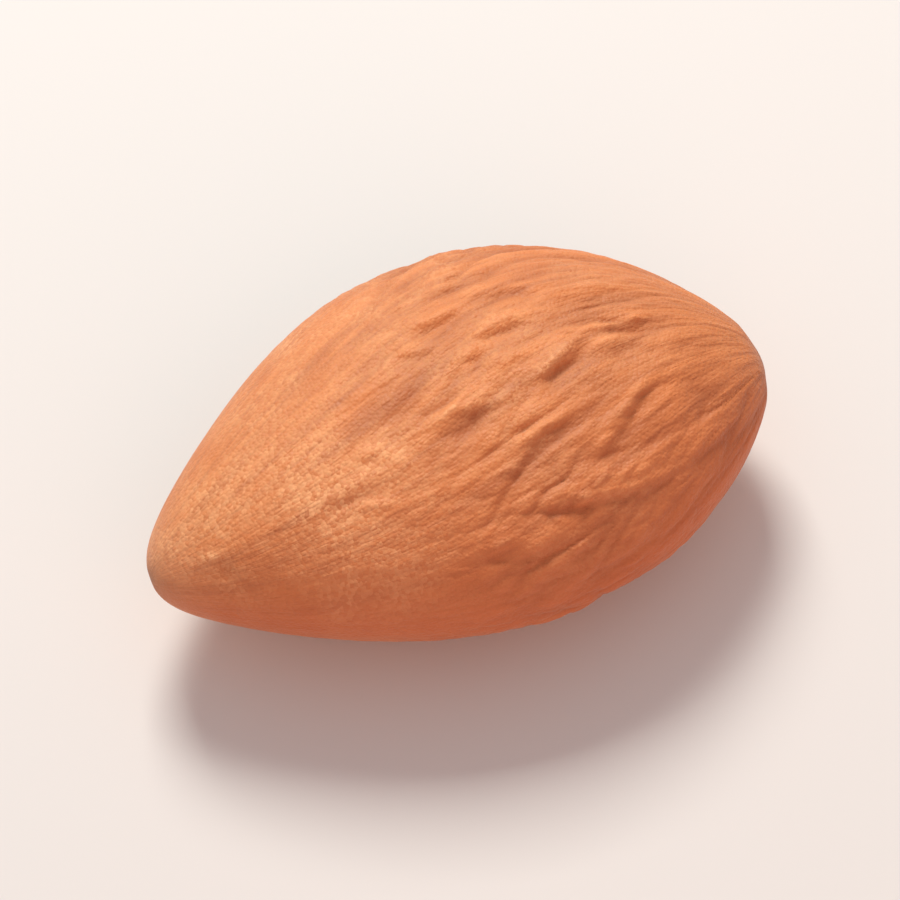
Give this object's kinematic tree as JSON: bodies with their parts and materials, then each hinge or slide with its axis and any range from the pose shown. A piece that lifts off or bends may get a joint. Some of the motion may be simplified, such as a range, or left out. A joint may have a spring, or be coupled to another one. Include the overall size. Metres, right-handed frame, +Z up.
{
  "type": "almond kernel",
  "caption": "Shelled almond with its brown skin on, lying flat: a teardrop with a blunt tip, slanting folds and lengthwise furrows, a vein along one edge and a small flat spot to rest on.",
  "frame": {"origin": "under the middle of the kernel's box, on the plane of the flat spot it rests on", "axes": "+X from the pointed tip to the broad end, +Y towards the fuller edge, +Z up through the broad face"},
  "size_m": [0.024, 0.0152, 0.0087],
  "materials": {
    "almond_skin": "matte"
  },
  "bodies": {
    "root": {"almond_kernel": "almond_skin"}
  },
  "joints": []
}
